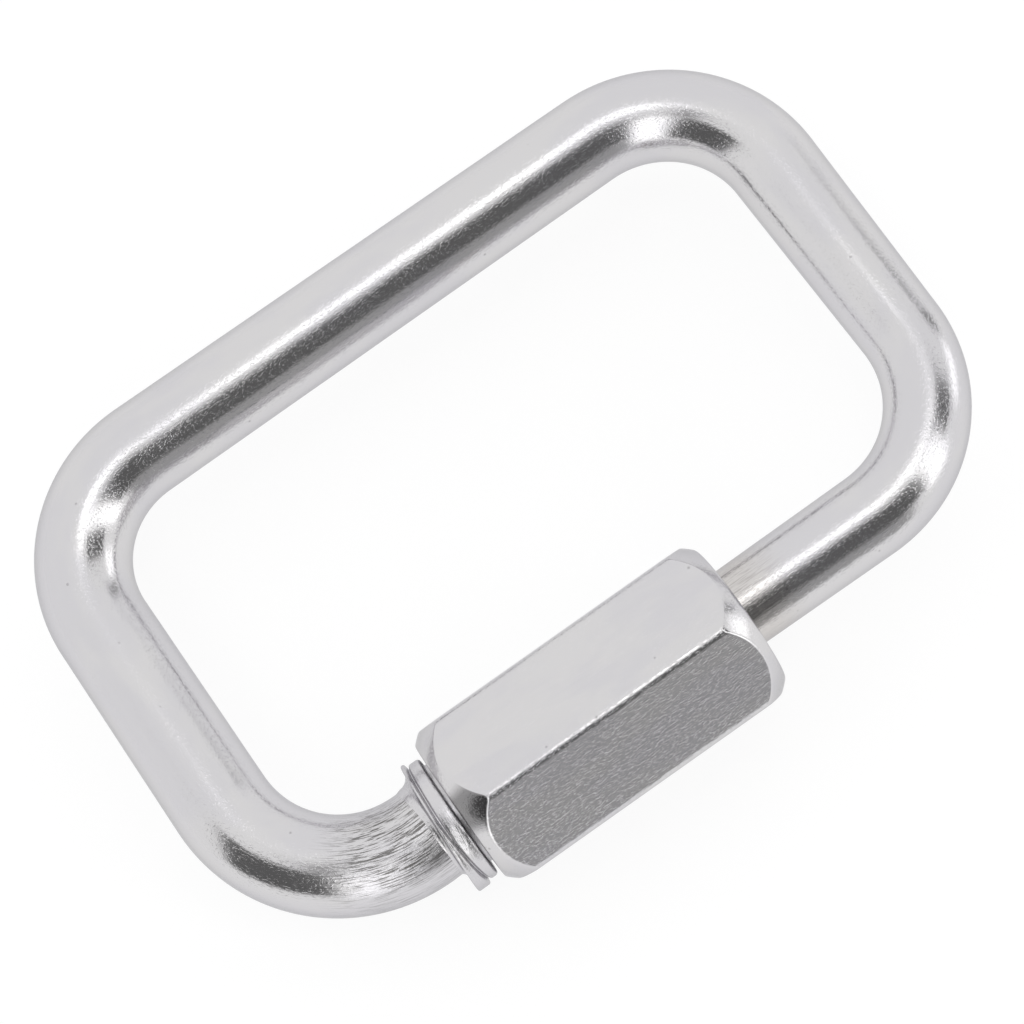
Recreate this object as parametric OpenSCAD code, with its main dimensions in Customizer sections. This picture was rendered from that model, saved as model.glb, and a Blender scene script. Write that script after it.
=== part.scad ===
// Square-form quick link: one bent rod whose two ends meet inside a long
// hexagonal sleeve nut.
//
// The link lies in the XY plane. X runs along the nut, Y from the nut to the
// plain back bar, Z out of the loop. The origin is the middle of the link's
// overall box. The nut opens by screwing towards +X, over the plain arm.

/* [Loop] */
// Distance between the axes of the two side arms
loop_len = 46.5; // [42:0.5:60]
// Distance from the nut's axis to the axis of the back bar
loop_w = 27.9; // [24:0.2:40]
// Centre-line radius of the bend beside the collar
collar_bend_r = 8.1; // [6.8:0.1:8.6]
// How far that bend turns, past a right angle, to reach the collar
collar_bend_turn = 97; // [91:0.5:108]
// Centre-line radius of the bend between the left arm and the back bar
back_left_r = 7.5; // [6:0.1:9]
// Centre-line radius of the bend between the back bar and the right arm
back_right_r = 7.7; // [6:0.1:9]
// Centre-line radius of the bend between the right arm and the plain arm
front_right_r = 7.8; // [6:0.1:9]

/* [Rod] */
// Rod diameter in the bend beside the collar, its thickest place
rod_d_collar = 5.7; // [4.8:0.05:6.4]
// Rod diameter in the bend at the left end of the back bar
rod_d_back_left = 5.6; // [4.5:0.05:6.2]
// Rod diameter in the bend at the right end of the back bar
rod_d_back_right = 5.3; // [4.5:0.05:6.2]
// Rod diameter in the bend at the foot of the right arm
rod_d_front_right = 4.95; // [4:0.05:6]
// Diameter of the plain arm where it enters the nut
rod_d_plain = 4.8; // [4:0.05:6]
// How far the plain arm's axis lies inside the nut's axis
plain_offset = 0.3; // [0:0.05:0.6]

/* [Thread] */
// Outer diameter of the thread on both rod ends
thread_d = 7.2; // [6.6:0.1:7.8]
// Distance between neighbouring thread crests
thread_pitch = 0.8; // [0.5:0.05:1]
// Radial gap between the rod's thread and the nut
thread_clearance = 0.05; // [0.02:0.01:0.1]
// Length of the threaded stub that the closed nut covers on the collar side
stub_len = 3.0; // [2.4:0.1:4]
// Width of the mouth between the two rod ends
mouth = 5.2; // [4.5:0.1:6]
// Length of the threaded head on the plain arm
head_len = 9.4; // [6:0.1:10]
// Bevel on the rod ends and on the head's inner end
end_bevel = 0.5; // [0.2:0.05:0.8]

/* [Collar] */
// Diameter over the collar's first ridge, beside the bend
ridge_d = 8.1; // [7.5:0.05:8.6]
// Diameter over the collar's second ridge, beside the nut
ridge_d_front = 7.7; // [7.4:0.05:8.4]
// Length of the collar along the nut's axis
collar_len = 1.4; // [1.3:0.05:2]
// Length of the flare that leads from the rod up to the collar
flare_len = 2.0; // [1:0.1:2.5]
// Bevel on the rims of the collar's two ridges
ridge_bevel = 0.15; // [0.05:0.05:0.25]
// How far the collar's axis lies outside the nut's axis
collar_offset = 0.25; // [0:0.05:0.4]
// Gap between the collar and the closed nut
nut_gap = 0.2; // [0.1:0.05:0.5]

/* [Nut] */
// Distance across the nut's flats
nut_af = 9.8; // [9:0.1:12]
// Length of the nut
nut_len = 18.9; // [16:0.1:22]
// Diameter of the nut's two end faces
nut_face_d = 8.7; // [8.2:0.1:9.4]
// Mean slope of the turned chamfers, measured from the nut's axis
nut_chamfer = 35; // [30:1:50]
// Depth of the countersinks in the nut's ends
countersink = 0.4; // [0.1:0.05:0.5]
// Angle at which the tight nut has come to rest, a corner from +Z towards -Y
nut_roll = 13; // [-30:0.5:30]

/* [Hidden] */
$fn = 96;
steel = [0.80, 0.80, 0.81];
hex_sides = 6;
// Length by which a cutter runs past the face it cuts
past = 1;
// A straight bar reaches this far into the bend at each end, and is this much thinner
bar_seat = 0.05;
bar_step = 0.02;

// The collar bend arrives at the collar's back face, on the nut's axis
overbend = collar_bend_turn - 90;
left_x = -loop_len / 2;
right_x = loop_len / 2;
collar_x = left_x + collar_bend_r * (1 + sin(overbend));
collar_bend_y = collar_bend_r * cos(overbend);

// Stations along the nut's axis, from left to right
collar_end_x = collar_x + collar_len;
nut_x = collar_end_x + nut_gap;
stub_end_x = nut_x + stub_len;
head_x = stub_end_x + mouth;
head_end_x = head_x + head_len;
plain_end_x = right_x - front_right_r;

// The nut's section
nut_corner_r = nut_af / sqrt(3);
bore_d = thread_d + 2 * thread_clearance;
nut_chamfer_len = (nut_corner_r - nut_face_d / 2) / tan(nut_chamfer);

// Each chamfer is part of a ball through the end face's rim and, at the
// chamfer's length, through the corners. Between them a sleeve clears the corners.
nut_face_r = nut_face_d / 2;
chamfer_ball_x = (nut_corner_r ^ 2 + nut_chamfer_len ^ 2 - nut_face_r ^ 2) / (2 * nut_chamfer_len);
chamfer_ball_r = norm([chamfer_ball_x, nut_face_r]);
sleeve_x = nut_chamfer_len + 0.3;
sleeve_d = 2 * nut_corner_r + 0.1;

// The thread's root, at the usual depth for its pitch
thread_root_d = thread_d - 2 * 0.6134 * thread_pitch;

// The collar's two ridges stand one pitch apart on a core as thick as the thread
ridge_len = collar_len - thread_pitch;
ridge_front_x = collar_x + thread_pitch;
collar_core_d = thread_d - collar_offset;

// Overall box, whose middle is the origin
corner_angles = [for (i = [0 : hex_sides - 1]) nut_roll + i * 360 / hex_sides];
nut_reach_y = max([for (a = corner_angles) nut_corner_r * sin(a)]);
collar_bend_low = collar_bend_y - collar_bend_r - rod_d_collar / 2;
low_y = min(-nut_reach_y, collar_bend_low);
high_y = loop_w + max(rod_d_back_left, rod_d_back_right) / 2;
low_x = left_x - max(rod_d_collar, rod_d_back_left) / 2;
high_x = right_x + max(rod_d_back_right, rod_d_front_right) / 2;
middle = [(low_x + high_x) / 2, (low_y + high_y) / 2, 0];

// A straight stretch of rod between two points of the XY plane, seated in its bends
module bar(from, to, d_from, d_to) {
    run = to - from;
    translate([from.x, from.y, 0])
        rotate([0, 0, atan2(run.y, run.x)])
            rotate([0, 90, 0])
                translate([0, 0, -bar_seat])
                    cylinder(h = norm(run) + 2 * bar_seat, d1 = d_from - bar_step, d2 = d_to - bar_step);
}

// A bend of round rod in the XY plane
module bend(centre, r, d, start, turn) {
    translate([centre.x, centre.y, 0])
        rotate([0, 0, start])
            rotate_extrude(angle = turn)
                translate([r, 0])
                    circle(d = d);
}

// A turned piece on the nut's axis: each point is a radius and a station along X
module turned(outline) {
    rotate([0, 90, 0])
        rotate_extrude()
            polygon(outline);
}

// A plain or tapered round cutter on the nut's axis, from one station to another
module cutter(from_x, to_x, d_from, d_to) {
    translate([from_x, 0, 0])
        rotate([0, 90, 0])
            cylinder(h = to_x - from_x, d1 = d_from, d2 = d_to);
}

// The rod from the collar, round the loop, to the head inside the nut
module bent_rod() {
    left_arm_low = [left_x, collar_bend_y];
    left_arm_high = [left_x, loop_w - back_left_r];
    back_bar_left = [left_x + back_left_r, loop_w];
    back_bar_right = [right_x - back_right_r, loop_w];
    right_arm_high = [right_x, loop_w - back_right_r];
    right_arm_low = [right_x, plain_offset + front_right_r];
    plain_arm_right = [plain_end_x, plain_offset];
    plain_arm_left = [head_x + end_bevel, plain_offset];

    bend([left_x + collar_bend_r, collar_bend_y], collar_bend_r, rod_d_collar, 180, collar_bend_turn);
    bar(left_arm_low, left_arm_high, rod_d_collar, rod_d_back_left);
    bend([left_x + back_left_r, loop_w - back_left_r], back_left_r, rod_d_back_left, 90, 90);
    bar(back_bar_left, back_bar_right, rod_d_back_left, rod_d_back_right);
    bend([right_x - back_right_r, loop_w - back_right_r], back_right_r, rod_d_back_right, 0, 90);
    bar(right_arm_high, right_arm_low, rod_d_back_right, rod_d_front_right);
    bend([plain_end_x, plain_offset + front_right_r], front_right_r, rod_d_front_right, 270, 90);
    bar(plain_arm_right, plain_arm_left, rod_d_front_right, rod_d_plain);
}

// One ridge of the collar: a disc with bevelled rims, starting at a station
module ridge(from_x, outer_d) {
    turned([
        [0, from_x],
        [outer_d / 2 - ridge_bevel, from_x],
        [outer_d / 2, from_x + ridge_bevel],
        [outer_d / 2, from_x + ridge_len - ridge_bevel],
        [outer_d / 2 - ridge_bevel, from_x + ridge_len],
        [0, from_x + ridge_len]
    ]);
}

// The raised collar where the thread runs out against the bend. Its flare
// starts inside the rod, and its core ends inside the front ridge.
module collar() {
    translate([0, -collar_offset, 0]) {
        turned([
            [0, collar_x - flare_len],
            [rod_d_collar / 2 - 2 * collar_offset, collar_x - flare_len],
            [collar_core_d / 2, collar_x + ridge_len / 2],
            [collar_core_d / 2, collar_end_x - ridge_len / 2],
            [0, collar_end_x - ridge_len / 2]
        ]);
        ridge(collar_x, ridge_d);
        ridge(ridge_front_x, ridge_d_front);
    }
}

// The short threaded stub, from inside the collar to its bevelled tip
module threaded_stub() {
    turned([
        [0, collar_x],
        [thread_root_d / 2, collar_x],
        [thread_root_d / 2, collar_end_x - nut_gap / 2],
        [thread_d / 2, collar_end_x + nut_gap],
        [thread_d / 2, stub_end_x - end_bevel],
        [thread_d / 2 - end_bevel, stub_end_x],
        [0, stub_end_x]
    ]);
}

// The threaded head on the end of the plain arm
module threaded_head() {
    turned([
        [0, head_x],
        [thread_d / 2 - end_bevel, head_x],
        [thread_d / 2, head_x + end_bevel],
        [thread_d / 2, head_end_x - end_bevel],
        [thread_d / 2 - end_bevel, head_end_x],
        [0, head_end_x]
    ]);
}

module link_body() {
    color(steel)
        translate(-middle)
            union() {
                bent_rod();
                collar();
                threaded_stub();
                threaded_head();
            }
}

// The ball that turns one end's chamfer, with its centre at a station
module chamfer_ball(x) {
    translate([x, 0, 0])
        rotate([0, 90, 0])
            sphere(r = chamfer_ball_r);
}

// A hexagonal bar with both ends turned to chamfers
module nut_blank() {
    intersection() {
        rotate([0, 90, 0])
            rotate([0, 0, nut_roll])
                cylinder(h = nut_len, r = nut_corner_r, $fn = hex_sides);
        union() {
            chamfer_ball(chamfer_ball_x);
            chamfer_ball(nut_len - chamfer_ball_x);
            cutter(sleeve_x, nut_len - sleeve_x, sleeve_d, sleeve_d);
        }
    }
}

module sleeve_nut() {
    mouth_d = bore_d + 2 * countersink;
    color(steel)
        translate([nut_x, 0, 0] - middle)
            difference() {
                nut_blank();
                cutter(-past, nut_len + past, bore_d, bore_d);
                cutter(0, countersink, mouth_d, bore_d);
                cutter(nut_len - countersink, nut_len, bore_d, mouth_d);
            }
}

link_body();
sleeve_nut();
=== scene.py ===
"""Looks of the square-form quick link: a bent steel rod closed by a long hexagonal sleeve nut.

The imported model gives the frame. The three sub-assembly classes lay their meshes out in millimetres of
that frame and dress them, and the studio class sets up the camera, the light and the table.
"""

import logging
import math
from dataclasses import dataclass, field
from enum import Enum

import bpy
import numpy as np
from mathutils import Matrix, Vector, noise


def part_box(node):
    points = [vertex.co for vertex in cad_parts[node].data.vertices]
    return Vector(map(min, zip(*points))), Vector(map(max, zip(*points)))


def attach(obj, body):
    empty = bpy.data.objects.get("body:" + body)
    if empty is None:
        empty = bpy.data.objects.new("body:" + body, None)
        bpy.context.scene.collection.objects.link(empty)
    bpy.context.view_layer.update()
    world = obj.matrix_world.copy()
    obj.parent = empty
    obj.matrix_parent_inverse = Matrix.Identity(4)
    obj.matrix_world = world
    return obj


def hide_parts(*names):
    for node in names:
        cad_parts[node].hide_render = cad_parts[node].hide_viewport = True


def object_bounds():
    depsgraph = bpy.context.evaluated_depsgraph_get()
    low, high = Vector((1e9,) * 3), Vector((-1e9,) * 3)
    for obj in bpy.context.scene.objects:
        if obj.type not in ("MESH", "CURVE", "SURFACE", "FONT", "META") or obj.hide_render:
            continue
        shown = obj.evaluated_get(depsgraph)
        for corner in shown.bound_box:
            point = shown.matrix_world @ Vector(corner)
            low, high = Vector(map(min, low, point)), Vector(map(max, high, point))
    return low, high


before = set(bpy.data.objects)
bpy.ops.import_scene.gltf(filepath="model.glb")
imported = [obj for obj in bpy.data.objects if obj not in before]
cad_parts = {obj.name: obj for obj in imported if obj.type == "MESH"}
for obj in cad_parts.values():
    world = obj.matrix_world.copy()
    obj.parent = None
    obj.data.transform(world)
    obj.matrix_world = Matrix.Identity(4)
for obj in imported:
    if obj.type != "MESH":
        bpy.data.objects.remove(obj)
cad_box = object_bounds()

LOG = logging.getLogger("quick_link")
MM = 0.001
FULL_TURN = 2 * math.pi
WHITE: tuple[float, ...] = (1.0, 1.0, 1.0, 1.0)
Rgb = tuple[float, float, float]
Rows = list[tuple[np.ndarray, np.ndarray]]


class Slot(Enum):
    """The record's two material slots."""

    ROD = "rod_steel"
    NUT = "nut_steel"


class Body(Enum):
    """The two bodies that pieces ride on."""

    LINK = "link"
    NUT = "nut"


class MarkName(Enum):
    """Names of the surface attributes that the finishes read."""

    GRAIN = "grain"
    SCUFF = "scuff"
    # Real stain on the rod, and painted dark reflection on the nut's left chamfer
    STAIN_AND_DARK_REFLECTION = "stain"


def smooth_step(low: float, high: float, value: np.ndarray) -> np.ndarray:
    """Ease from 0 to 1 between two values.

    Args:
        low: Value at which the result is 0.
        high: Value at which the result is 1.
        value: Values to ease.

    Returns:
        The eased values, from 0 to 1.
    """
    t = np.clip((np.asarray(value, float) - low) / (high - low), 0.0, 1.0)
    return t * t * (3 - 2 * t)


def quarter_turn(count: int) -> list[float]:
    """Give evenly spaced angles from 0 to 90 degrees, in radians."""
    return [math.radians(turn) for turn in np.linspace(0.0, 90.0, count)]


def turn_about_axis(
    x: np.ndarray, r: np.ndarray, angle: np.ndarray, centre_y: float | np.ndarray
) -> np.ndarray:
    """Place stations and radii about an axis that runs along X.

    Args:
        x: Station of each point.
        r: Radius of each point.
        angle: Angle of each column, from +Y towards +Z.
        centre_y: Where the axis lies along Y, as one number or one for each row.

    Returns:
        The points.
    """
    points = np.empty(x.shape + (3,))
    points[..., 0] = x
    points[..., 1] = centre_y + r * np.cos(angle)
    points[..., 2] = r * np.sin(angle)
    return points


@dataclass
class Layout:
    """Where the link's axes and stations lie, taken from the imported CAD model.

    All lengths are millimetres in the shared frame.
    """

    rod_at_left: float = 5.7
    rod_at_bar: float = 5.6
    rod_at_right: float = 5.3
    nut_gap: float = 0.2
    nut_left: float = field(init=False)
    nut_right: float = field(init=False)
    axis_y: float = field(init=False)
    left_x: float = field(init=False)
    right_x: float = field(init=False)
    bar_y: float = field(init=False)

    def __post_init__(self) -> None:
        """Read the axes and stations off the boxes of the two CAD nodes."""
        nut_low, nut_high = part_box("sleeve_nut")
        link_low, link_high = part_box("link_body")
        self.nut_left = nut_low.x / MM
        self.nut_right = nut_high.x / MM
        self.axis_y = (nut_low.y + nut_high.y) / 2 / MM
        self.left_x = link_low.x / MM + self.rod_at_left / 2
        self.right_x = link_high.x / MM - self.rod_at_right / 2
        self.bar_y = link_high.y / MM - self.rod_at_bar / 2


@dataclass
class Skin:
    """A closed surface made of a grid of points, with the marks that its finish reads.

    Points run along the rows, round the columns. Lengths are millimetres.
    """

    points: np.ndarray
    grain: np.ndarray
    scuff: np.ndarray | None = None
    # Mask of real stain on the rod, and of painted dark reflection on the nut's left chamfer
    stain: np.ndarray | None = None
    row_materials: np.ndarray | None = None
    rows_meet: bool = False
    crease_deg: float = 40.0

    def _faces(self) -> list[tuple[int, ...]]:
        """List the grid's quads, and a fan on each open end.

        Returns:
            Vertex indices of every face.
        """
        rows, columns = self.points.shape[:2]
        last = rows if self.rows_meet else rows - 1
        faces: list[tuple[int, ...]] = []
        for row in range(last):
            above = (row + 1) % rows
            for column in range(columns):
                beside = (column + 1) % columns
                faces.append(
                    (
                        row * columns + column,
                        row * columns + beside,
                        above * columns + beside,
                        above * columns + column,
                    )
                )
        if not self.rows_meet:
            first_hub, last_hub = rows * columns, rows * columns + 1
            top = (rows - 1) * columns
            for column in range(columns):
                beside = (column + 1) % columns
                faces.append((first_hub, beside, column))
                faces.append((last_hub, top + column, top + beside))
        return faces

    def _with_hubs(self, values: np.ndarray) -> np.ndarray:
        """Flatten grid values and add those of the two end hubs.

        Args:
            values: One value or vector for each grid point.

        Returns:
            One row for each vertex of the mesh.
        """
        flat = values.reshape(-1, values.shape[-1] if values.ndim == 3 else 1)
        if self.rows_meet:
            return flat
        ends = [values[0].mean(axis=0), values[-1].mean(axis=0)]
        return np.vstack([flat, np.reshape(ends, (2, -1))])

    def to_object(self, name: str, materials: list[bpy.types.Material]) -> bpy.types.Object:
        """Build the mesh object, in metres.

        Args:
            name: Name of the piece.
            materials: Its materials, in the order that row_materials counts them.

        Returns:
            The new object, linked to the scene.
        """
        mesh = bpy.data.meshes.new(name)
        vertices = self._with_hubs(self.points) * MM
        mesh.from_pydata(vertices.tolist(), [], self._faces())
        for material in materials:
            mesh.materials.append(material)
        columns = self.points.shape[1]
        if self.row_materials is not None:
            index = np.repeat(self.row_materials, columns)
            index = np.pad(index, (0, len(mesh.polygons) - len(index)), mode="edge")
            mesh.polygons.foreach_set("material_index", index.astype(np.int32))
        self._store(mesh, MarkName.GRAIN, self.grain)
        blank = np.zeros(self.points.shape[:2])
        self._store(mesh, MarkName.SCUFF, blank if self.scuff is None else self.scuff)
        self._store(mesh, MarkName.STAIN_AND_DARK_REFLECTION, blank if self.stain is None else self.stain)
        mesh.validate()
        mesh.polygons.foreach_set("use_smooth", [True] * len(mesh.polygons))
        mesh.set_sharp_from_angle(angle=math.radians(self.crease_deg))
        piece = bpy.data.objects.new(name, mesh)
        bpy.context.scene.collection.objects.link(piece)
        return piece

    def _store(self, mesh: bpy.types.Mesh, mark: MarkName, values: np.ndarray) -> None:
        """Write one mark onto the mesh's vertices.

        Args:
            mesh: Mesh that takes the mark.
            mark: Which mark it is.
            values: Its value or vector at each grid point.
        """
        flat = self._with_hubs(values).astype(np.float32)
        kind, key = ("FLOAT_VECTOR", "vector") if flat.shape[1] == 3 else ("FLOAT", "value")
        attribute = mesh.attributes.new(mark.value, kind, "POINT")
        attribute.data.foreach_set(key, flat.ravel())


class NodeBench:
    """A small helper that lays out shader nodes on one tree."""

    # Where the mix node takes what it mixes, and where it gives a mixed colour
    MIX_NUMBERS: tuple[int, int] = (2, 3)
    MIX_COLOURS: tuple[int, int] = (6, 7)
    MIXED_COLOUR: int = 2
    NOISE_ROUGHNESS: float = 0.6

    def __init__(self, tree: bpy.types.NodeTree) -> None:
        """Start from an empty tree."""
        self.tree = tree
        tree.nodes.clear()

    def add(self, kind: str, **settings: object) -> bpy.types.Node:
        """Add a node and set its options.

        Args:
            kind: Blender's name for the node type.
            settings: Options of the node by name.

        Returns:
            The new node.
        """
        node = self.tree.nodes.new(kind)
        for name, value in settings.items():
            setattr(node, name, value)
        return node

    def put(self, node: bpy.types.Node, socket: str | int, value: object) -> None:
        """Feed an input socket with a constant or with another node's output.

        Args:
            node: Node that takes the value.
            socket: Name or number of its input.
            value: A number, a vector or an output socket.
        """
        if isinstance(value, bpy.types.NodeSocket):
            self.tree.links.new(value, node.inputs[socket])
        else:
            node.inputs[socket].default_value = value

    def math(self, operation: str, *values: object) -> bpy.types.NodeSocket:
        """Combine numbers.

        Args:
            operation: Name of the sum to do.
            values: Constants or output sockets, in order.

        Returns:
            The result's output socket.
        """
        node = self.add("ShaderNodeMath", operation=operation)
        for index, value in enumerate(values):
            self.put(node, index, value)
        return node.outputs[0]

    def dot(self, vector: bpy.types.NodeSocket, axis: Vector) -> bpy.types.NodeSocket:
        """Project a vector onto an axis.

        Args:
            vector: Output that gives the vector.
            axis: The axis, of length 1.

        Returns:
            The projected length's output.
        """
        node = self.add("ShaderNodeVectorMath", operation="DOT_PRODUCT")
        self.put(node, 0, vector)
        self.put(node, 1, axis)
        return node.outputs["Value"]

    def ease(
        self, value: bpy.types.NodeSocket, low: float, high: float, start: float = 0.0, end: float = 1.0
    ) -> bpy.types.NodeSocket:
        """Ease a number from one value to another between two limits.

        Args:
            value: Output that drives the change.
            low: Value at which the result is start.
            high: Value at which the result is end.
            start: Result below low.
            end: Result above high.

        Returns:
            The eased output.
        """
        node = self.add("ShaderNodeMapRange", interpolation_type="SMOOTHSTEP")
        self.put(node, "Value", value)
        self.put(node, "From Min", low)
        self.put(node, "From Max", high)
        self.put(node, "To Min", start)
        self.put(node, "To Max", end)
        return node.outputs["Result"]

    def blend(self, share: object, first: object, second: object) -> bpy.types.NodeSocket:
        """Mix two numbers by a share.

        Args:
            share: 0 gives the first, 1 the second.
            first: A number or an output.
            second: A number or an output.

        Returns:
            The mixed number's output.
        """
        node = self.add("ShaderNodeMix", data_type="FLOAT")
        self.put(node, 0, share)
        self.put(node, self.MIX_NUMBERS[0], first)
        self.put(node, self.MIX_NUMBERS[1], second)
        return node.outputs[0]

    def tint(self, share: object, first: object, second: object) -> bpy.types.NodeSocket:
        """Mix two colours by a share.

        Args:
            share: 0 gives the first, 1 the second.
            first: A colour or an output.
            second: A colour or an output.

        Returns:
            The mixed colour's output.
        """
        node = self.add("ShaderNodeMix", data_type="RGBA")
        self.put(node, 0, share)
        self.put(node, self.MIX_COLOURS[0], first)
        self.put(node, self.MIX_COLOURS[1], second)
        return node.outputs[self.MIXED_COLOUR]

    def marks(self, grain: bpy.types.NodeSocket, per_mm: Rgb, detail: float) -> bpy.types.NodeSocket:
        """Spread noise over the grain coordinate.

        Args:
            grain: Output that gives the grain coordinate in millimetres.
            per_mm: Marks to the millimetre along and across the grain.
            detail: Octaves of finer marks.

        Returns:
            The noise, from 0 to 1.
        """
        scaled = self.add("ShaderNodeVectorMath", operation="MULTIPLY")
        self.put(scaled, 0, grain)
        self.put(scaled, 1, per_mm)
        texture = self.add("ShaderNodeTexNoise")
        self.put(texture, "Vector", scaled.outputs[0])
        self.put(texture, "Scale", 1.0)
        self.put(texture, "Detail", detail)
        self.put(texture, "Roughness", self.NOISE_ROUGHNESS)
        return texture.outputs[0]


@dataclass(frozen=True)
class SteelFinish:
    """A worked stainless steel surface: its tints, its polish and the marks left on it.

    Scales are marks to the millimetre, along the grain and across it. Depths and the pits' spacing are
    millimetres, and a pit's size is a share of that spacing. Wear and tint ranges are noise values.
    """

    name: str
    colour: Rgb = (0.66, 0.65, 0.657)
    cool: Rgb = (0.635, 0.625, 0.645)
    edge_tint: Rgb = (0.7, 0.7, 0.71)
    # Stain colour; the nut's chamfer finish sets it near-black to paint a dark reflection
    stain_and_dark_reflection_colour: Rgb = (0.58, 0.545, 0.51)
    polished: float = 0.12
    worn: float = 0.2
    line_scale: Rgb = (0.25, 5.0, 5.0)
    line_detail: float = 3.0
    line_wear: tuple[float, float] = (0.35, 0.7)
    line_depth: float = 0.003
    fleck_scale: Rgb = (5.0, 10.0, 10.0)
    fleck_detail: float = 2.0
    fleck_range: tuple[float, float] = (0.5, 0.7)
    fleck_depth: float = 0.0036
    scuff_scale: Rgb = (0.8, 15.0, 15.0)
    scuff_detail: float = 4.0
    scuff_depth: float = 0.022
    cloud_scale: Rgb = (0.12, 0.3, 0.3)
    cloud_detail: float = 3.0
    cloud_wear: tuple[float, float] = (0.35, 0.65)
    cloud_tint: tuple[float, float] = (0.4, 0.6)
    pit_spacing: float = 1.1
    pit_size: tuple[float, float] = (0.04, 0.11)
    pits_left_out: float = 0.8
    pit_dirt: float = 0.3
    pit_depth: float = 0.003
    grime_colour: Rgb = (0.12, 0.115, 0.11)
    grime_range: tuple[float, float] = (0.42, 0.49)
    grime_share: float = 0.9

    def build(self) -> bpy.types.Material:
        """Lay out the finish as a node material.

        Returns:
            The new material.
        """
        material = bpy.data.materials.new(self.name)
        material.use_nodes = True
        bench = NodeBench(material.node_tree)
        grain = bench.add("ShaderNodeAttribute", attribute_name=MarkName.GRAIN.value).outputs["Vector"]
        scuff = bench.add("ShaderNodeAttribute", attribute_name=MarkName.SCUFF.value).outputs["Fac"]
        stain = bench.add("ShaderNodeAttribute", attribute_name=MarkName.STAIN_AND_DARK_REFLECTION.value).outputs["Fac"]
        lines = bench.marks(grain, self.line_scale, self.line_detail)
        flecks = bench.ease(bench.marks(grain, self.fleck_scale, self.fleck_detail), *self.fleck_range)
        gouges = bench.marks(grain, self.scuff_scale, self.scuff_detail)
        clouds = bench.marks(grain, self.cloud_scale, self.cloud_detail)
        pits = self._pits(bench, grain)

        shader = bench.add("ShaderNodeBsdfPrincipled")
        bench.put(shader, "Metallic", 1.0)
        bench.put(shader, "Specular Tint", (*self.edge_tint, 1.0))
        bench.put(shader, "Base Color", self._colour(bench, clouds, stain, pits, scuff, gouges))
        wear = bench.blend(0.5, bench.ease(lines, *self.line_wear), bench.ease(clouds, *self.cloud_wear))
        wear = bench.math("MAXIMUM", wear, scuff)
        bench.put(shader, "Roughness", bench.blend(wear, self.polished, self.worn))
        bench.put(shader, "Normal", self._relief(bench, lines, flecks, gouges, pits, scuff))
        output = bench.add("ShaderNodeOutputMaterial")
        bench.put(output, "Surface", shader.outputs["BSDF"])
        return material

    def _pits(self, bench: NodeBench, grain: bpy.types.NodeSocket) -> bpy.types.NodeSocket:
        """Scatter small pits, one in some of the cells.

        Args:
            bench: Helper that holds the tree.
            grain: Output that gives the grain coordinate.

        Returns:
            A mask that is 1 in the pits.
        """
        cells = bench.add("ShaderNodeTexVoronoi", feature="F1")
        bench.put(cells, "Vector", grain)
        bench.put(cells, "Scale", 1.0 / self.pit_spacing)
        near = bench.ease(cells.outputs["Distance"], *self.pit_size, 1.0, 0.0)
        split = bench.add("ShaderNodeSeparateColor")
        bench.put(split, "Color", cells.outputs["Color"])
        chosen = bench.math("GREATER_THAN", split.outputs[0], self.pits_left_out)
        return bench.math("MULTIPLY", near, chosen)

    def _colour(
        self,
        bench: NodeBench,
        clouds: bpy.types.NodeSocket,
        stain: bpy.types.NodeSocket,
        pits: bpy.types.NodeSocket,
        scuff: bpy.types.NodeSocket,
        gouges: bpy.types.NodeSocket,
    ) -> bpy.types.NodeSocket:
        """Mix the steel's tints, its stains and painted dark reflection, and the dirt in its pits.

        Args:
            bench: Helper that holds the tree.
            clouds: Broad noise that parts the warm and the cool tint.
            stain: Mask of the stained stretch, which on the nut's left chamfer is a painted dark reflection.
            pits: Mask of the pits.
            scuff: Mask of the scuffed stretch.
            gouges: Noise of the deep marks.

        Returns:
            The colour output.
        """
        base = bench.tint(bench.ease(clouds, *self.cloud_tint), (*self.colour, 1.0), (*self.cool, 1.0))
        # Stain, and on the nut's left chamfer a painted dark reflection, mixed into the colour
        base = bench.tint(stain, base, (*self.stain_and_dark_reflection_colour, 1.0))
        grime = bench.math("MULTIPLY", scuff, bench.ease(gouges, *self.grime_range, self.grime_share, 0.0))
        dark = bench.math("MAXIMUM", bench.math("MULTIPLY", pits, self.pit_dirt), grime)
        return bench.tint(dark, base, (*self.grime_colour, 1.0))

    def _relief(
        self,
        bench: NodeBench,
        lines: bpy.types.NodeSocket,
        flecks: bpy.types.NodeSocket,
        gouges: bpy.types.NodeSocket,
        pits: bpy.types.NodeSocket,
        scuff: bpy.types.NodeSocket,
    ) -> bpy.types.NodeSocket:
        """Stack the fine reliefs of the surface.

        Args:
            bench: Helper that holds the tree.
            lines: Noise of the grain's lines.
            flecks: Noise of the short flecks.
            gouges: Noise of the deep marks.
            pits: Mask of the pits.
            scuff: Mask of the scuffed stretch.

        Returns:
            The normal output.
        """
        normal: bpy.types.NodeSocket | None = None
        sunk = bench.math("SUBTRACT", 1.0, pits)
        scuffed = bench.math("MULTIPLY", scuff, gouges)
        layers = (
            (lines, self.line_depth),
            (flecks, self.fleck_depth),
            (sunk, self.pit_depth),
            (scuffed, self.scuff_depth),
        )
        for height, depth in layers:
            bump = bench.add("ShaderNodeBump")
            bench.put(bump, "Strength", 1.0)
            bench.put(bump, "Distance", depth * MM)
            bench.put(bump, "Height", height)
            if normal is not None:
                bench.put(bump, "Normal", normal)
            normal = bump.outputs[0]
        return normal


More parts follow.
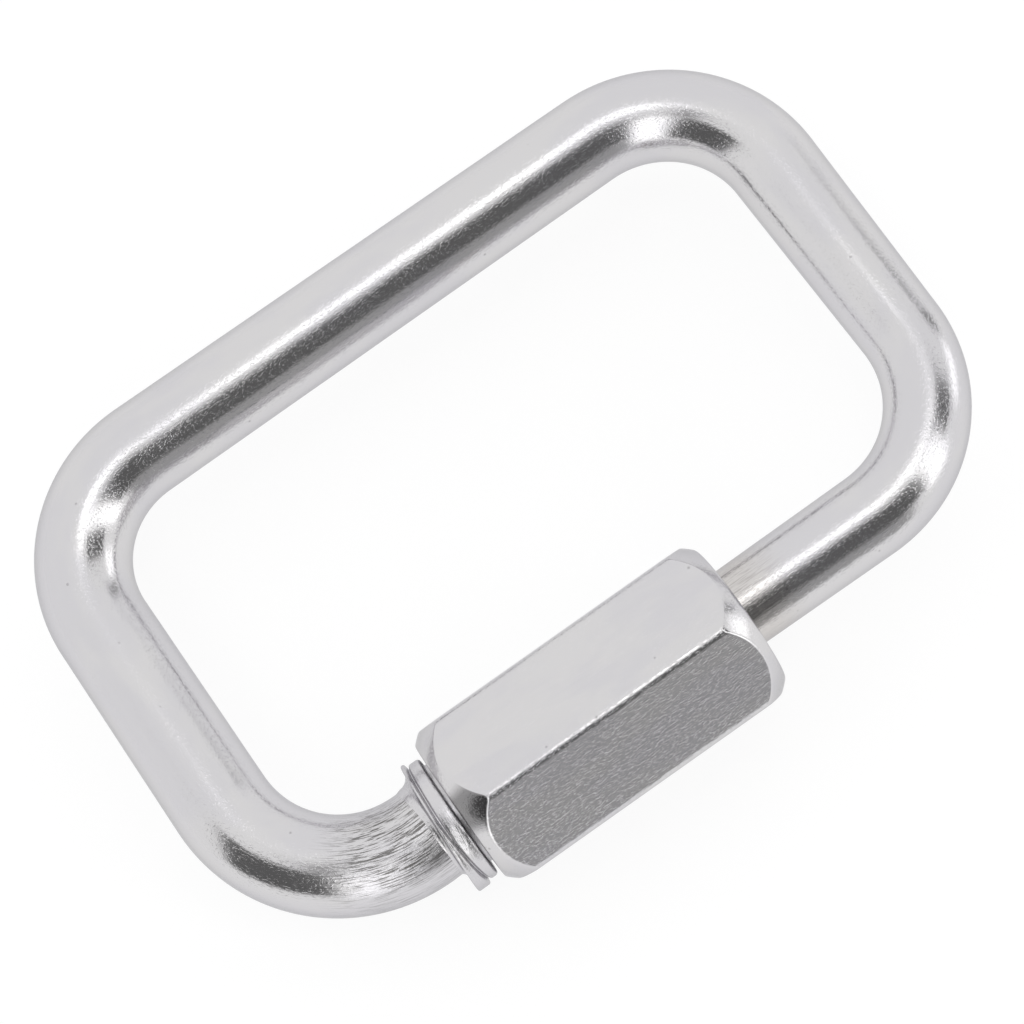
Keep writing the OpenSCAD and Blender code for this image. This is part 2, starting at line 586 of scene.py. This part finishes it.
@dataclass(frozen=True)
class Panel:
    """One light or dark panel of the studio, as seen from the link.

    Bearing turns about the studio's axis from +X, and spread leans away from that axis. Both are
    in degrees.
    """

    bearing: tuple[float, float]
    spread: tuple[float, float]
    light: float
    edge: float = 3.0
    near_edge: float = 3.0

    def mask(
        self, bench: NodeBench, bearing: bpy.types.NodeSocket, spread: bpy.types.NodeSocket
    ) -> bpy.types.NodeSocket:
        """Draw a mask that is 1 on the panel and fades over its edges.

        Args:
            bench: Helper that holds the tree.
            bearing: Output of the bearing in degrees.
            spread: Output of the lean in degrees.

        Returns:
            The mask's output.
        """
        west, east = self.bearing
        near, far = self.spread
        sides = [
            bench.ease(bearing, west - self.edge, west + self.edge),
            bench.ease(bearing, east - self.edge, east + self.edge, 1.0, 0.0),
            bench.ease(spread, near - self.near_edge, near + self.near_edge),
            bench.ease(spread, far - self.edge, far + self.edge, 1.0, 0.0),
        ]
        product = sides[0]
        for side in sides[1:]:
            product = bench.math("MULTIPLY", product, side)
        return product


@dataclass
class Studio:
    """Camera, light table and the tent of light round it.

    The camera's places and the floor's drop are millimetres in the shared frame. The floor's radius and
    the camera's clipping range are metres.
    """

    camera_at: tuple[float, float, float] = (-8.83, -43.52, 163.27)
    aim_at: tuple[float, float, float] = (-0.494, -0.361, 0.0)
    roll_deg: float = -35.74
    lens: float = 105.47
    sensor_width: float = 36.0
    clip: tuple[float, float] = (0.005, 50.0)
    tent_light: float = 1.0
    backdrop_light: float = 1.3
    tent_axis: tuple[float, float, float] = (0.049, 0.255, 0.966)
    floor_radius: float = 3.0
    floor_sides: int = 96
    floor_glow: float = 0.84
    floor_colour: float = 0.2
    floor_drop: float = 0.02
    panels: tuple[Panel, ...] = (
        Panel(bearing=(188, 229), spread=(36, 88), light=0.13),
        Panel(bearing=(219, 234), spread=(12, 34), light=0.3),
        Panel(bearing=(234, 255), spread=(37, 93), light=1.8),
        Panel(bearing=(258, 292), spread=(62, 104), light=0.4),
        Panel(bearing=(258, 300), spread=(31, 77), light=0.13, near_edge=9.0),
        Panel(bearing=(252, 324), spread=(5, 19), light=2.2, near_edge=2.0),
        Panel(bearing=(303, 317), spread=(12, 87), light=2.0),
        Panel(bearing=(320, 338), spread=(26, 64), light=0.12, edge=2.0),
        Panel(bearing=(336, 356), spread=(69, 88), light=1.7),
        Panel(bearing=(-5, 8), spread=(55, 80), light=0.3),
    )

    def place_camera(self) -> bpy.types.Object:
        """Set the camera up at its viewing angle and make it the scene's.

        Returns:
            The camera.
        """
        data = bpy.data.cameras.new("camera")
        data.lens = self.lens
        data.sensor_width = self.sensor_width
        data.clip_start, data.clip_end = self.clip
        camera = bpy.data.objects.new("camera", data)
        bpy.context.scene.collection.objects.link(camera)
        place = Vector(self.camera_at) * MM
        look = (Vector(self.aim_at) * MM - place).normalized()
        level = look.cross(Vector((0, 1, 0))).normalized()
        upright = level.cross(look)
        roll = math.radians(self.roll_deg)
        right = level * math.cos(roll) + upright * math.sin(roll)
        up = right.cross(look)
        turn = Matrix((right, up, -look)).transposed()
        camera.matrix_world = Matrix.Translation(place) @ turn.to_4x4()
        bpy.context.scene.camera = camera
        return camera

    def light_tent(self) -> None:
        """Light the scene from a pale tent with a few light and dark panels."""
        world = bpy.data.worlds.new("light_tent")
        world.use_nodes = True
        bench = NodeBench(world.node_tree)
        direction = bench.add("ShaderNodeTexCoord").outputs["Generated"]
        axis = Vector(self.tent_axis).normalized()
        east = (Vector((1, 0, 0)) - axis * axis.x).normalized()
        north = axis.cross(east)
        spread = bench.math("DEGREES", bench.math("ARCCOSINE", bench.dot(direction, axis)))
        turn = bench.math("ARCTAN2", bench.dot(direction, north), bench.dot(direction, east))
        bearing = bench.math("WRAP", bench.math("DEGREES", turn), 360.0, 0.0)
        light: object = self.tent_light
        for panel in self.panels:
            light = bench.blend(panel.mask(bench, bearing, spread), light, panel.light)
        seen = bench.add("ShaderNodeLightPath").outputs["Is Camera Ray"]
        background = bench.add("ShaderNodeBackground")
        bench.put(background, "Color", WHITE)
        bench.put(background, "Strength", bench.blend(seen, light, self.backdrop_light))
        output = bench.add("ShaderNodeOutputWorld")
        bench.put(output, "Surface", background.outputs["Background"])
        bpy.context.scene.world = world

    def lay_floor(self, underside: float) -> bpy.types.Object:
        """Lay the pale light table under the link.

        Args:
            underside: Height of the link's lowest point, in metres.

        Returns:
            The floor.
        """
        mesh = bpy.data.meshes.new("light_table")
        turns = [FULL_TURN * i / self.floor_sides for i in range(self.floor_sides)]
        rim = [(self.floor_radius * math.cos(t), self.floor_radius * math.sin(t), 0.0) for t in turns]
        mesh.from_pydata(rim, [], [tuple(range(self.floor_sides))])
        material = bpy.data.materials.new("pale_light_table")
        material.use_nodes = True
        bench = NodeBench(material.node_tree)
        shader = bench.add("ShaderNodeBsdfPrincipled")
        bench.put(shader, "Base Color", (self.floor_colour,) * 3 + (1.0,))
        bench.put(shader, "Roughness", 1.0)
        bench.put(shader, "Specular IOR Level", 0.0)
        bench.put(shader, "Emission Color", WHITE)
        bench.put(shader, "Emission Strength", self.floor_glow)
        output = bench.add("ShaderNodeOutputMaterial")
        bench.put(output, "Surface", shader.outputs["BSDF"])
        mesh.materials.append(material)
        floor = bpy.data.objects.new("light_table", mesh)
        floor.location.z = underside - self.floor_drop * MM
        bpy.context.scene.collection.objects.link(floor)
        return floor

    def set_view(self) -> None:
        """Show the scene's light as it is, without a film curve."""
        bpy.context.scene.view_settings.view_transform = "Standard"
        bpy.context.scene.view_settings.look = "None"


@dataclass
class BentRod:
    """The bent rod, from inside the collar round the loop to inside the threaded head.

    Lengths are millimetres. The scuffs fade over a stretch from the collar, and the stain over a stretch
    from the nut.
    """

    layout: Layout
    collar_bend_r: float = 8.1
    collar_bend_over: float = 7.0
    back_left_r: float = 7.5
    back_right_r: float = 7.7
    front_right_r: float = 7.8
    rod_d_collar: float = 5.7
    rod_d_back_left: float = 5.6
    rod_d_back_right: float = 5.3
    rod_d_front_right: float = 4.95
    rod_d_plain: float = 4.8
    plain_offset: float = 0.3
    into_head: float = 2.0
    sides: int = 96
    bend_step: float = 0.2
    bar_step: float = 0.5
    ripple: float = 0.004
    ripples_per_mm: float = 0.45
    scuff_length: tuple[float, float] = (3.6, 7.5)
    crown: tuple[float, float] = (0.45, 0.9)
    scuff_below: float = 0.3
    stain_length: tuple[float, float] = (1.0, 4.0)
    stain_strength: float = 0.5
    stain_scuff: float = 0.25
    arm_length: float = 14.0

    def _route(self) -> tuple[np.ndarray, np.ndarray, np.ndarray]:
        """Lay the centre line out as bends and straight bars.

        Returns:
            Centre points, outward directions in the loop's plane, and rod radii.
        """
        lay = self.layout
        over = math.radians(self.collar_bend_over)
        bend_y = lay.axis_y + self.collar_bend_r * math.cos(over)
        plain_y = lay.axis_y + self.plain_offset
        spots: list[tuple[float, float]] = []
        outward: list[tuple[float, float]] = []
        radii: list[float] = []

        def bend(cx: float, cy: float, r: float, diameter: float, start: float, end: float) -> None:
            """Add one bend.

            Args:
                cx: Centre of the bend along X.
                cy: Centre of the bend along Y.
                r: Radius of its centre line.
                diameter: The rod's diameter in it.
                start: Angle at which it starts, in degrees.
                end: Angle at which it ends, in degrees.
            """
            steps = max(2, round(math.radians(abs(end - start)) * r / self.bend_step))
            for i in range(steps + 1):
                angle = math.radians(start + (end - start) * i / steps)
                spots.append((cx + r * math.cos(angle), cy + r * math.sin(angle)))
                outward.append((math.cos(angle), math.sin(angle)))
                radii.append(diameter / 2)

        def bar(end: tuple[float, float], diameter: float) -> None:
            """Add a straight bar from the last point.

            Args:
                end: Where the bar ends.
                diameter: The rod's diameter there.
            """
            begin, side, radius = spots[-1], outward[-1], radii[-1]
            steps = max(2, round(math.dist(begin, end) / self.bar_step))
            for i in range(1, steps):
                t = i / steps
                spots.append((begin[0] + (end[0] - begin[0]) * t, begin[1] + (end[1] - begin[1]) * t))
                outward.append(side)
                radii.append(radius + (diameter / 2 - radius) * t)

        left_high = lay.bar_y - self.back_left_r
        right_high = lay.bar_y - self.back_right_r
        right_low = plain_y + self.front_right_r
        collar_hub_x = lay.left_x + self.collar_bend_r
        back_left_x = lay.left_x + self.back_left_r
        back_right_x = lay.right_x - self.back_right_r
        front_right_x = lay.right_x - self.front_right_r
        collar_turn = 270.0 + self.collar_bend_over
        bend(collar_hub_x, bend_y, self.collar_bend_r, self.rod_d_collar, collar_turn, 180.0)
        bar((lay.left_x, left_high), self.rod_d_back_left)
        bend(back_left_x, left_high, self.back_left_r, self.rod_d_back_left, 180.0, 90.0)
        bar((back_right_x, lay.bar_y), self.rod_d_back_right)
        bend(back_right_x, right_high, self.back_right_r, self.rod_d_back_right, 90.0, 0.0)
        bar((lay.right_x, right_low), self.rod_d_front_right)
        bend(front_right_x, right_low, self.front_right_r, self.rod_d_front_right, 0.0, -90.0)
        head_side = lay.nut_right - self.into_head
        bar((head_side, plain_y), self.rod_d_plain)
        spots.append((head_side, plain_y))
        outward.append((0.0, -1.0))
        radii.append(self.rod_d_plain / 2)
        return np.array(spots), np.array(outward), np.array(radii)

    def build(self, finish: bpy.types.Material) -> bpy.types.Object:
        """Sweep the rod's round section along its route.

        Args:
            finish: Material of the rod.

        Returns:
            The rod.
        """
        spots, outward, radii = self._route()
        along = np.concatenate([[0.0], np.cumsum(np.linalg.norm(np.diff(spots, axis=0), axis=1))])
        angles = FULL_TURN * np.arange(self.sides) / self.sides
        shape = (len(spots), self.sides)
        grain = np.empty(shape + (3,))
        grain[..., 0] = along[:, None]
        grain[..., 1] = radii[:, None] * np.cos(angles)
        grain[..., 2] = radii[:, None] * np.sin(angles)
        spread = [noise.noise(Vector(spot) * self.ripples_per_mm) for spot in grain.reshape(-1, 3)]
        swell = np.array(spread).reshape(shape)
        reach = radii[:, None] + self.ripple * swell
        points = np.empty(shape + (3,))
        across = reach * np.cos(angles)
        points[..., 0] = spots[:, None, 0] + across * outward[:, None, 0]
        points[..., 1] = spots[:, None, 1] + across * outward[:, None, 1]
        points[..., 2] = reach * np.sin(angles)
        scuff = 1.0 - smooth_step(*self.scuff_length, along)
        on_crown = smooth_step(*self.crown, np.sin(angles))
        crown = self.scuff_below + (1.0 - self.scuff_below) * on_crown
        beside_nut = spots[:, 0] - self.layout.nut_right
        on_arm = along > along[-1] - self.arm_length
        stain = np.where(on_arm, 1.0 - smooth_step(*self.stain_length, beside_nut), 0.0)
        skin = Skin(
            points=points,
            grain=grain,
            scuff=(scuff + self.stain_scuff * stain)[:, None] * crown,
            stain=np.repeat(self.stain_strength * stain[:, None], self.sides, axis=1),
        )
        return skin.to_object("bent_rod", [finish])


@dataclass
class ThreadForm:
    """A right-hand thread with the usual flat crest and root.

    Its depth, its crest's width and its root's width are shares of the pitch.
    """

    pitch: float = 0.8
    crest_r: float = 3.6
    depth_share: float = 0.6134
    crest_share: float = 0.125
    root_share: float = 0.25
    rows_per_turn: int = 12

    @property
    def depth(self) -> float:
        """Depth from crest to root, on the rod and in the nut alike."""
        return self.pitch * self.depth_share

    def cut(self, x: np.ndarray, angle: np.ndarray) -> np.ndarray:
        """Give the depth of the cut at each point.

        Args:
            x: Stations along the axis.
            angle: Angles about the axis, from +Y towards +Z.

        Returns:
            0 on the crest, and the full depth in the root.
        """
        turn = (x - self.pitch * angle / FULL_TURN) / self.pitch
        away = np.abs(turn - np.round(turn)) * 2
        flank = (1.0 - self.root_share) - self.crest_share
        return self.depth * np.clip((away - self.crest_share) / flank, 0.0, 1.0)


@dataclass
class ThreadedEnds:
    """The collar with its threaded stub, and the threaded head on the plain arm.

    Lengths are millimetres, and stations on the collar count from its start. The run-out groove passes
    through its places at its knots, which are degrees from +Y towards +Z.
    """

    layout: Layout
    thread: ThreadForm = field(default_factory=ThreadForm)
    collar_len: float = 1.4
    collar_offset: float = 0.15
    ridge_r: float = 4.02
    ring_r: float = 3.86
    neck_r: float = 3.2
    rim: float = 0.13
    front_rim: float = 0.22
    lip_wave: float = 0.05
    lip_edge: tuple[float, float] = (0.01, 0.05)
    ring_edge: float = 0.04
    edge_len: float = 0.06
    back_place: float = 0.10
    back_lean: float = 0.17
    back_lean_deg: float = 20.0
    groove_knots: tuple[float, ...] = (-30.0, 15.0, 60.0, 100.0, 135.0, 190.0, 260.0, 330.0, 375.0)
    groove_places: tuple[float, ...] = (0.66, 0.61, 0.52, 0.40, 0.50, 0.85, 0.80, 0.66, 0.61)
    groove_blur_deg: float = 18.0
    groove_depth: float = 0.2
    groove_half: float = 0.1
    groove_floor: float = 0.02
    foot_r: float = 2.87
    foot_lean: float = 0.17
    fillet: tuple[float, float] = (0.36, 0.72)
    inside_len: float = 1.6
    inside_drop: float = 0.5
    stub_gap: float = 0.02
    stub_len: float = 3.0
    mouth: float = 5.2
    head_len: float = 9.4
    bevel: float = 0.5
    plain_r: float = 2.2
    sides: int = 120

    def _collar_stations(self, angle: np.ndarray) -> tuple[np.ndarray, np.ndarray]:
        """Give the collar's back face and groove round its turn, where the thread runs out.

        Args:
            angle: Angles about the axis, from +Y towards +Z.

        Returns:
            Distances of the back face and of the groove from the collar's start.
        """
        degrees = np.degrees(angle)
        back = self.back_place + self.back_lean * np.cos(np.radians(degrees - self.back_lean_deg))
        groove = np.zeros_like(degrees)
        window = np.linspace(-self.groove_blur_deg, self.groove_blur_deg, 13)
        first = self.groove_knots[0]
        for lean in window:
            turned = (degrees + lean - first) % 360.0 + first
            groove += np.interp(turned, self.groove_knots, self.groove_places)
        return back, groove / len(window)

    def _collar_rows(self, angle: np.ndarray) -> Rows:
        """Draw the collar's outline from the rod up to its front face.

        Args:
            angle: Angles about the axis, one for each column.

        Returns:
            Stations and radii of each row, from the collar's start.
        """
        inner = np.clip(np.cos(angle), 0.0, 1.0) ** 1.5
        back, groove = self._collar_stations(angle)
        fillet = self.fillet[0] + (self.fillet[1] - self.fillet[0]) * inner
        foot = self.foot_r + self.foot_lean * np.cos(angle)
        lip = self.ridge_r + self.lip_wave * np.cos(2 * angle)
        lip_end = np.maximum(groove - self.groove_half, back + 1.2 * self.rim)
        dip = np.maximum(groove, lip_end + self.groove_floor)
        ring_start = dip + self.groove_half
        ring = np.full_like(angle, self.ring_r)
        rows = [(back - fillet - self.inside_len, foot - self.inside_drop)]
        for t in quarter_turn(7):
            rows.append((back - fillet + fillet * math.sin(t), foot + fillet * (1 - math.cos(t))))
        rows.append((back, (foot + fillet + lip - self.rim) / 2))
        for t in quarter_turn(5):
            rows.append((back + self.rim * (1 - math.cos(t)), lip - self.rim * (1 - math.sin(t))))
        rows.append((lip_end - self.edge_len, lip - self.lip_edge[0]))
        rows.append((lip_end, lip - self.lip_edge[1]))
        rows.append((dip - self.groove_floor, ring - self.groove_depth))
        rows.append((dip + self.groove_floor, ring - self.groove_depth))
        rows.append((ring_start, ring - self.ring_edge))
        rows.append((ring_start + self.edge_len, ring))
        end = np.full_like(angle, self.collar_len)
        for t in quarter_turn(5):
            x = end - self.front_rim * (1 - math.sin(t))
            rows.append((x, ring - self.front_rim * (1 - math.cos(t))))
        return rows

    def _thread_rows(self, angle: np.ndarray, start: float, end: float) -> Rows:
        """Cut the thread along a stretch of the axis, with a bevel at both ends.

        Args:
            angle: Angles about the axis, one for each column.
            start: First station.
            end: Last station.

        Returns:
            Stations and radii of each row.
        """
        count = max(8, round((end - start) / self.thread.pitch * self.thread.rows_per_turn))
        rows = []
        for x in np.linspace(start, end, count + 1):
            radius = self.thread.crest_r - self.thread.cut(np.full_like(angle, x), angle)
            limit = self.thread.crest_r - self.bevel + min(x - start, end - x)
            rows.append((np.full_like(angle, x), np.minimum(radius, limit)))
        return rows

    def _turned_skin(self, angle: np.ndarray, rows: Rows, centre: np.ndarray) -> Skin:
        """Turn rows of stations and radii into a surface about the nut's axis.

        Args:
            angle: Angles about the axis, one for each column.
            rows: Stations and radii.
            centre: How far each row's centre lies from the axis along Y.

        Returns:
            The surface.
        """
        x = np.array([row[0] for row in rows])
        r = np.array([row[1] for row in rows])
        points = turn_about_axis(x, r, angle, self.layout.axis_y + centre[:, None])
        step = np.hypot(np.diff(x, axis=0), np.diff(r, axis=0))
        along = np.vstack([np.zeros_like(angle), np.cumsum(step, axis=0)])
        grain = turn_about_axis(along, np.full_like(r, self.thread.crest_r), angle, 0.0)
        return Skin(points=points, grain=grain)

    def build_stub(self, turned: bpy.types.Material, threaded: bpy.types.Material) -> bpy.types.Object:
        """Build the collar and the stub in front of it.

        Args:
            turned: Material of the collar.
            threaded: Material of the thread.

        Returns:
            The collar and stub, as one piece.
        """
        angle = FULL_TURN * np.arange(self.sides) / self.sides
        start = self.layout.nut_left - self.layout.nut_gap - self.collar_len
        rows = [(start + x, r) for x, r in self._collar_rows(angle)]
        collar_count = len(rows)
        collar_end = start + self.collar_len
        rows.append((np.full_like(angle, collar_end), np.full_like(angle, self.neck_r)))
        neck_end = self.layout.nut_left - self.stub_gap
        rows.append((np.full_like(angle, neck_end), np.full_like(angle, self.neck_r)))
        rows += self._thread_rows(angle, self.layout.nut_left, self.layout.nut_left + self.stub_len)
        centre = np.where(np.arange(len(rows)) < collar_count, -self.collar_offset, 0.0)
        skin = self._turned_skin(angle, rows, centre)
        skin.row_materials = (np.arange(len(rows) - 1) >= collar_count).astype(int)
        skin.crease_deg = 50.0
        return skin.to_object("collar_and_stub", [turned, threaded])

    def build_head(self, threaded: bpy.types.Material) -> bpy.types.Object:
        """Build the threaded head on the end of the plain arm.

        Args:
            threaded: Material of the thread.

        Returns:
            The head.
        """
        angle = FULL_TURN * np.arange(self.sides) / self.sides
        start = self.layout.nut_left + self.stub_len + self.mouth
        end = start + self.head_len
        rows = self._thread_rows(angle, start, end)
        rows.append((np.full_like(angle, end), np.full_like(angle, self.plain_r)))
        skin = self._turned_skin(angle, rows, np.zeros(len(rows)))
        skin.crease_deg = 50.0
        return skin.to_object("threaded_head", [threaded])


@dataclass
class SleeveNut:
    """The long hexagonal nut, with turned chamfers, rounded corners and a threaded bore.

    Lengths are millimetres. Each chamfer is part of a large ball, and its angle is the mean one. The
    bore's thread runs in over a stretch from each end. A painted dark reflection lies on the left chamfer's
    top corner.
    """

    layout: Layout
    thread: ThreadForm = field(default_factory=lambda: ThreadForm(crest_r=3.65))
    across_flats: float = 9.8
    roll_deg: float = 13.0
    corner_r: float = 0.6
    face_r: float = 4.35
    chamfer_deg: float = 35.0
    crease: float = 0.14
    face_rim: float = 0.05
    chamfer_shares: tuple[float, ...] = (0.04, 0.2, 0.35, 0.5, 0.65, 0.8, 0.95, 1.0)
    crease_shares: tuple[float, ...] = (0.25, 0.5, 0.75, 1.0)
    past_crease: float = 0.03
    flat_end_rows: int = 3
    countersink: float = 0.4
    run_in: tuple[float, float] = (0.1, 0.9)
    # Strength, and spread in degrees, of the painted dark reflection on the left chamfer's top corner
    painted_reflection: float = 0.7
    painted_reflection_deg: tuple[float, float] = (9.0, 20.0)
    corner_steps: int = 8
    flat_steps: int = 20
    flat_edge_share: float = 0.008

    def _section(self) -> tuple[np.ndarray, np.ndarray]:
        """Draw the hexagon with its corners rounded.

        Returns:
            Angles and radii of the section's points, from +Y towards +Z.
        """
        half = self.across_flats / 2
        reach = (half - self.corner_r) / math.cos(math.radians(30))
        spots: list[tuple[float, float]] = []
        for side in range(6):
            corner = math.radians(90.0 + self.roll_deg + 60.0 * side)
            hub = (reach * math.cos(corner), reach * math.sin(corner))
            for i in range(self.corner_steps + 1):
                lean = corner + math.radians(-30.0 + 60.0 * i / self.corner_steps)
                y = hub[0] + self.corner_r * math.cos(lean)
                spots.append((y, hub[1] + self.corner_r * math.sin(lean)))
            ahead = corner + math.radians(60.0)
            lean = corner + math.radians(30.0)
            begin = spots[-1]
            end = (
                reach * math.cos(ahead) + self.corner_r * math.cos(lean),
                reach * math.sin(ahead) + self.corner_r * math.sin(lean),
            )
            shares = np.linspace(0.0, 1.0, self.flat_steps + 1)[1:-1]
            shares = np.concatenate([[self.flat_edge_share], shares, [1.0 - self.flat_edge_share]])
            for t in shares:
                spots.append((begin[0] + (end[0] - begin[0]) * t, begin[1] + (end[1] - begin[1]) * t))
        places = np.array(spots)
        return np.arctan2(places[:, 1], places[:, 0]), np.hypot(places[:, 0], places[:, 1])

    def _end_rows(self, section_r: np.ndarray) -> Rows:
        """Draw one end of the nut's outside, from its face over the chamfer onto the flats.

        Args:
            section_r: The hexagon's radius at each column.

        Returns:
            Distances from the end and radii, from the face inwards.
        """
        corner = self.across_flats / math.sqrt(3)
        slant = math.radians(self.chamfer_deg)
        depth = (corner - self.face_r) / math.tan(slant)
        ball_x = (corner**2 + depth**2 - self.face_r**2) / (2 * depth)
        ball_r = math.hypot(ball_x, self.face_r)
        rim = self.face_rim
        shoulder = ball_x - np.sqrt(ball_r**2 - section_r**2)
        rows = [(np.zeros_like(section_r), np.full_like(section_r, self.face_r - rim))]
        rows.append((np.full_like(section_r, 0.25 * rim), np.full_like(section_r, self.face_r - 0.25 * rim)))
        turned_end = shoulder - math.cos(slant) * self.crease
        for share in self.chamfer_shares:
            x = rim + (turned_end - rim) * share
            rows.append((x, np.sqrt(ball_r**2 - (ball_x - x) ** 2)))
        last_r = rows[-1][1]
        for t in self.crease_shares:
            x = (1 - t) ** 2 * turned_end + 2 * t * (1 - t) * shoulder + t * t * (shoulder + self.crease)
            rows.append((x, (1 - t) ** 2 * last_r + (1 - (1 - t) ** 2) * section_r))
        rows.append((shoulder + self.crease + self.past_crease, section_r))
        return rows

    def _bore_rows(self, angle: np.ndarray, length: float) -> Rows:
        """Cut the bore's thread from the right end back to the left, between countersinks.

        Args:
            angle: Angle of each column.
            length: The nut's length.

        Returns:
            Distances from the left end and radii.
        """
        count = round(length / self.thread.pitch * self.thread.rows_per_turn)
        mouth_r = self.thread.crest_r + self.countersink
        rows = []
        for x in np.linspace(length, 0.0, count + 1):
            from_end = min(x, length - x)
            cut = self.thread.cut(np.full_like(angle, x), angle)
            cut = cut * float(smooth_step(*self.run_in, from_end))
            radius = np.maximum(self.thread.crest_r + cut, mouth_r - from_end)
            rows.append((np.full_like(angle, x), radius))
        return rows

    def build(
        self, flats: bpy.types.Material, turned: bpy.types.Material, threaded: bpy.types.Material
    ) -> bpy.types.Object:
        """Build the nut as one closed surface.

        Args:
            flats: Material of the six flats.
            turned: Material of the chamfers and end faces.
            threaded: Material of the bore.

        Returns:
            The nut.
        """
        materials = [flats, turned, threaded]
        angle, section_r = self._section()
        length = self.layout.nut_right - self.layout.nut_left
        left = self._end_rows(section_r)
        right = [(length - x, r) for x, r in reversed(left)]
        middle = [(np.full_like(angle, length * t), section_r) for t in (0.25, 0.5, 0.75)]
        bore = self._bore_rows(angle, length)
        rows = left + middle + right + bore
        x = np.array([row[0] for row in rows])
        r = np.array([row[1] for row in rows])
        points = turn_about_axis(self.layout.nut_left + x, r, angle, self.layout.axis_y)
        outer = len(left) + len(middle) + len(right)
        chamfer = len(left) - self.flat_end_rows
        kind = np.full(len(rows), materials.index(threaded))
        kind[:outer] = materials.index(flats)
        kind[:chamfer] = materials.index(turned)
        kind[outer - 1 - chamfer : outer] = materials.index(turned)
        kind[-1] = materials.index(turned)
        # Painted dark reflection: the left chamfer's colour is darkened near its top corner, where it
        # reflects dark
        from_corner = np.abs(np.degrees(angle) - 90.0 - self.roll_deg)
        stain = np.zeros_like(x)
        stain[:chamfer] = self.painted_reflection * (1.0 - smooth_step(*self.painted_reflection_deg, from_corner))
        skin = Skin(
            points=points,
            grain=points.copy(),
            stain=stain,
            row_materials=kind,
            rows_meet=True,
            crease_deg=60.0,
        )
        return skin.to_object("sleeve_nut_steel", materials)


def settle(piece: bpy.types.Object, body: Body, node: str) -> None:
    """Tie a finished piece to its body, hide its CAD node, and report it.

    Args:
        piece: The finished piece.
        body: Body that it moves with.
        node: CAD node that it stands for.
    """
    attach(piece, body.value)
    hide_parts(node)
    LOG.info("%s: %d faces, rides on %s", piece.name, len(piece.data.polygons), body.value)


def main() -> None:
    """Build the studio and every piece of the link, in order."""
    logging.basicConfig(level=logging.INFO, format="%(name)s: %(message)s")
    studio = Studio()
    studio.place_camera()
    studio.set_view()
    studio.light_tent()
    studio.lay_floor(cad_box[0][2])

    rod_finish = SteelFinish("drawn_rod_steel").build()
    collar_finish = SteelFinish(
        "turned_collar_steel",
        polished=0.17,
        worn=0.28,
        line_scale=(9.0, 0.3, 0.3),
        line_depth=0.018,
        fleck_scale=(7.0, 5.0, 5.0),
        fleck_depth=0.007,
    ).build()
    thread_finish = SteelFinish(
        "cut_thread_steel",
        polished=0.22,
        worn=0.34,
        line_scale=(7.0, 0.3, 0.3),
    ).build()
    flat_finish = SteelFinish(
        "brushed_flat_steel",
        polished=0.13,
        worn=0.21,
        line_scale=(0.3, 3.2, 3.2),
        line_depth=0.018,
        fleck_scale=(4.0, 13.0, 13.0),
        fleck_depth=0.0055,
    ).build()
    # The near-black stain colour of this finish paints the dark reflection on the left chamfer's top corner
    chamfer_finish = SteelFinish(
        "turned_chamfer_steel",
        stain_and_dark_reflection_colour=(0.1, 0.097, 0.095),
        line_scale=(7.0, 0.3, 0.3),
        line_depth=0.004,
    ).build()

    layout = Layout()
    rod = BentRod(layout).build(rod_finish)
    settle(rod, Body.LINK, "link_body")
    ends = ThreadedEnds(layout)
    settle(ends.build_stub(collar_finish, thread_finish), Body.LINK, "link_body")
    settle(ends.build_head(thread_finish), Body.LINK, "link_body")
    nut = SleeveNut(layout).build(flat_finish, chamfer_finish, thread_finish)
    settle(nut, Body.NUT, "sleeve_nut")


if __name__ == "__main__":
    main()
